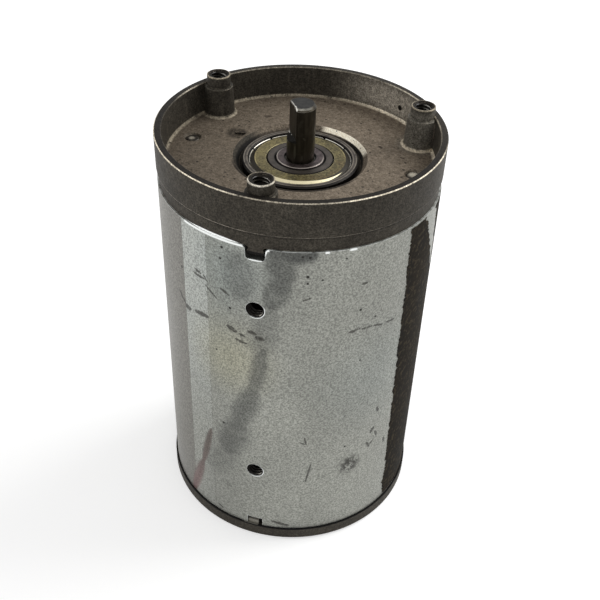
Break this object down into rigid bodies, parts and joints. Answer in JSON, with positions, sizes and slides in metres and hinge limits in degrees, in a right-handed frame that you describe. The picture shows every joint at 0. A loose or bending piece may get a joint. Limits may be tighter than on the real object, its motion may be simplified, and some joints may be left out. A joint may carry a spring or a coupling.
{
  "type": "dc motor",
  "caption": "Brushed permanent-magnet dc motor: plated steel can, cast cup-shaped front bell with threaded bosses, ball bearings and a flatted output shaft.",
  "frame": {"origin": "centre of the rear end bell's face that the motor stands on", "axes": "+Z along the shaft towards its output end; -Y through the locating notches and the tapped side holes"},
  "size_m": [0.0988, 0.0988, 0.164],
  "materials": {
    "cast_bell": "die-cast, dull grey-brown with worn bright edges",
    "zinc_steel": "zinc plated, satin, scuffed and specked",
    "bearing_steel": "ground, slightly oily",
    "bearing_shield": "yellow-passivated pressed sheet",
    "shaft_steel": "dark oiled steel",
    "spring_steel": "plain",
    "lamination_steel": "stacked laminations",
    "ferrite": "matt sintered ceramic",
    "insulation": "phenolic board and paper",
    "moulding": "moulded phenolic",
    "copper_winding": "enamelled copper",
    "commutator_copper": "turned copper",
    "brass_hardware": "pressed brass",
    "carbon": "pressed carbon",
    "fastener_zinc": "zinc plated",
    "grommet_rubber": "moulded rubber",
    "label_film": "dark adhesive film, torn and scuffed"
  },
  "bodies": {
    "housing": {"bolt_washers": "fastener_zinc", "brush_holder_1": "brass_hardware", "brush_holder_2": "brass_hardware", "brush_holder_3": "brass_hardware", "brush_holder_4": "brass_hardware", "brush_lead_1": "copper_winding", "brush_lead_2": "copper_winding", "brush_lead_3": "copper_winding", "brush_lead_4": "copper_winding", "brush_plate": "insulation", "brush_plate_screws": "fastener_zinc", "brush_spring_1": "spring_steel", "brush_spring_2": "spring_steel", "brush_spring_3": "spring_steel", "brush_spring_4": "spring_steel", "front_bearing_inner_shield": "bearing_shield", "front_bearing_outer_ring": "bearing_steel", "front_bearing_outer_shield": "bearing_shield", "front_end_bell": "cast_bell", "label_remnant": "label_film", "lead_grommet": "grommet_rubber", "lead_rivets": "brass_hardware", "magnet_1": "ferrite", "magnet_2": "ferrite", "magnet_3": "ferrite", "magnet_4": "ferrite", "rear_bearing_inner_shield": "bearing_shield", "rear_bearing_outer_ring": "bearing_steel", "rear_bearing_outer_shield": "bearing_shield", "rear_end_bell": "cast_bell", "through_bolts": "fastener_zinc", "wave_washer": "spring_steel", "yoke_can": "zinc_steel"},
    "rotor": {"armature_shaft": "shaft_steel", "armature_core": "lamination_steel", "core_insulator_front": "insulation", "core_insulator_rear": "insulation", "slot_windings": "copper_winding", "winding_overhang_front": "copper_winding", "winding_overhang_rear": "copper_winding", "commutator_hub": "moulding", "commutator_bars": "commutator_copper", "front_bearing_inner_ring": "bearing_steel", "rear_bearing_inner_ring": "bearing_steel"},
    "front_ball_set": {"front_bearing_balls": "bearing_steel", "front_bearing_cage": "spring_steel"},
    "rear_ball_set": {"rear_bearing_balls": "bearing_steel", "rear_bearing_cage": "spring_steel"},
    "brush_1": {"brush_1": "carbon"},
    "brush_2": {"brush_2": "carbon"},
    "brush_3": {"brush_3": "carbon"},
    "brush_4": {"brush_4": "carbon"}
  },
  "joints": [
    {"name": "rotor_spin", "type": "hinge", "parent": "housing", "child": "rotor", "pos_m": [0, 0, 0.08], "axis": [0, 0, 1], "continuous": true},
    {"name": "front_ball_orbit", "type": "hinge", "parent": "housing", "child": "front_ball_set", "pos_m": [0, 0, 0.1379], "axis": [0, 0, 1], "continuous": true},
    {"name": "rear_ball_orbit", "type": "hinge", "parent": "housing", "child": "rear_ball_set", "pos_m": [0, 0, 0.0105], "axis": [0, 0, 1], "continuous": true},
    {"name": "brush_1_slide", "type": "slide", "parent": "housing", "child": "brush_1", "axis": [0.7071, 0.7071, 0], "range_m": [0, 0.006], "stiffness_N_per_m": 350, "springref_m": -0.006, "deforming": ["brush_spring_1", "brush_lead_1"]},
    {"name": "brush_2_slide", "type": "slide", "parent": "housing", "child": "brush_2", "axis": [-0.7071, 0.7071, 0], "range_m": [0, 0.006], "stiffness_N_per_m": 350, "springref_m": -0.006, "deforming": ["brush_spring_2", "brush_lead_2"]},
    {"name": "brush_3_slide", "type": "slide", "parent": "housing", "child": "brush_3", "axis": [-0.7071, -0.7071, 0], "range_m": [0, 0.006], "stiffness_N_per_m": 350, "springref_m": -0.006, "deforming": ["brush_spring_3", "brush_lead_3"]},
    {"name": "brush_4_slide", "type": "slide", "parent": "housing", "child": "brush_4", "axis": [0.7071, -0.7071, 0], "range_m": [0, 0.006], "stiffness_N_per_m": 350, "springref_m": -0.006, "deforming": ["brush_spring_4", "brush_lead_4"]}
  ],
  "couplings": [
    {"joint": "front_ball_orbit", "follows": "rotor_spin", "ratio": 0.3818},
    {"joint": "rear_ball_orbit", "follows": "rotor_spin", "ratio": 0.3645}
  ]
}
